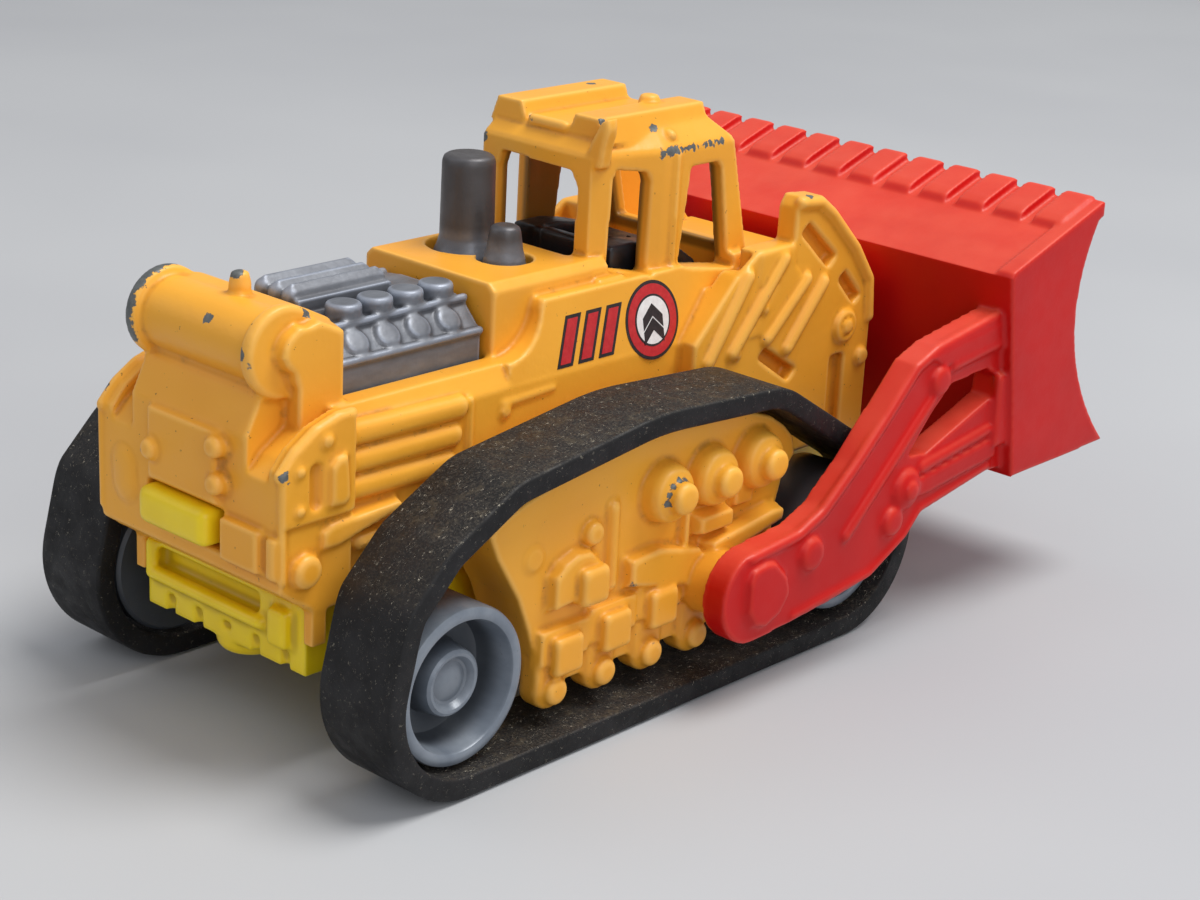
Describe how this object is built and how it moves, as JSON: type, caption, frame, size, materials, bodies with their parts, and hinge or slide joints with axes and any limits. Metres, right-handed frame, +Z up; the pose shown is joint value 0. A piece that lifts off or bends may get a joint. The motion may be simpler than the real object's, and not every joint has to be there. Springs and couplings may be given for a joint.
{
  "type": "toy bulldozer",
  "caption": "Small tracked toy bulldozer with a painted metal body, open cab, engine insert, rubber track belts on free wheels and a hinged front blade on two arms.",
  "frame": {"origin": "on the ground under the middle of the whole footprint", "axes": "+Y forward to the blade, +X to the vehicle's right, +Z up"},
  "size_m": [0.037, 0.0644, 0.0333],
  "materials": {
    "yellow_paint": "glossy paint on a zinc casting, chipped on edges",
    "lime_plastic": "smooth moulded",
    "silver_plastic": "silver-grey, satin",
    "black_plastic": "satin black",
    "black_rubber": "matt, dusty",
    "grey_plastic": "blue-grey, satin",
    "steel": "drawn wire",
    "red_plastic": "slightly translucent, satin"
  },
  "bodies": {
    "root": {"body_casting": "yellow_paint", "base_plate": "lime_plastic", "engine_insert": "silver_plastic", "cab_interior": "black_plastic", "track_frame_left": "yellow_paint", "track_frame_right": "yellow_paint", "track_belt_left": "black_rubber", "track_belt_right": "black_rubber", "rear_axle": "steel", "front_axle": "steel"},
    "blade": {"blade_and_arms": "red_plastic"},
    "rear_wheel_left": {"rear_wheel_left": "grey_plastic"},
    "rear_wheel_right": {"rear_wheel_right": "grey_plastic"},
    "front_wheel_left": {"front_wheel_left": "grey_plastic"},
    "front_wheel_right": {"front_wheel_right": "grey_plastic"}
  },
  "joints": [
    {"name": "blade_lift", "type": "hinge", "parent": "root", "child": "blade", "pos_m": [0, -0.0036, 0.0068], "axis": [1, 0, 0], "range_deg": [-13.5, 4]},
    {"name": "rear_left_spin", "type": "hinge", "parent": "root", "child": "rear_wheel_left", "pos_m": [-0.01215, -0.0243, 0.0062], "axis": [1, 0, 0], "continuous": true},
    {"name": "rear_right_spin", "type": "hinge", "parent": "root", "child": "rear_wheel_right", "pos_m": [0.01215, -0.0243, 0.0062], "axis": [1, 0, 0], "continuous": true},
    {"name": "front_left_spin", "type": "hinge", "parent": "root", "child": "front_wheel_left", "pos_m": [-0.01215, 0.0089, 0.0062], "axis": [1, 0, 0], "continuous": true},
    {"name": "front_right_spin", "type": "hinge", "parent": "root", "child": "front_wheel_right", "pos_m": [0.01215, 0.0089, 0.0062], "axis": [1, 0, 0], "continuous": true}
  ],
  "couplings": [
    {"joint": "front_left_spin", "follows": "rear_left_spin", "ratio": 1},
    {"joint": "front_right_spin", "follows": "rear_right_spin", "ratio": 1}
  ]
}
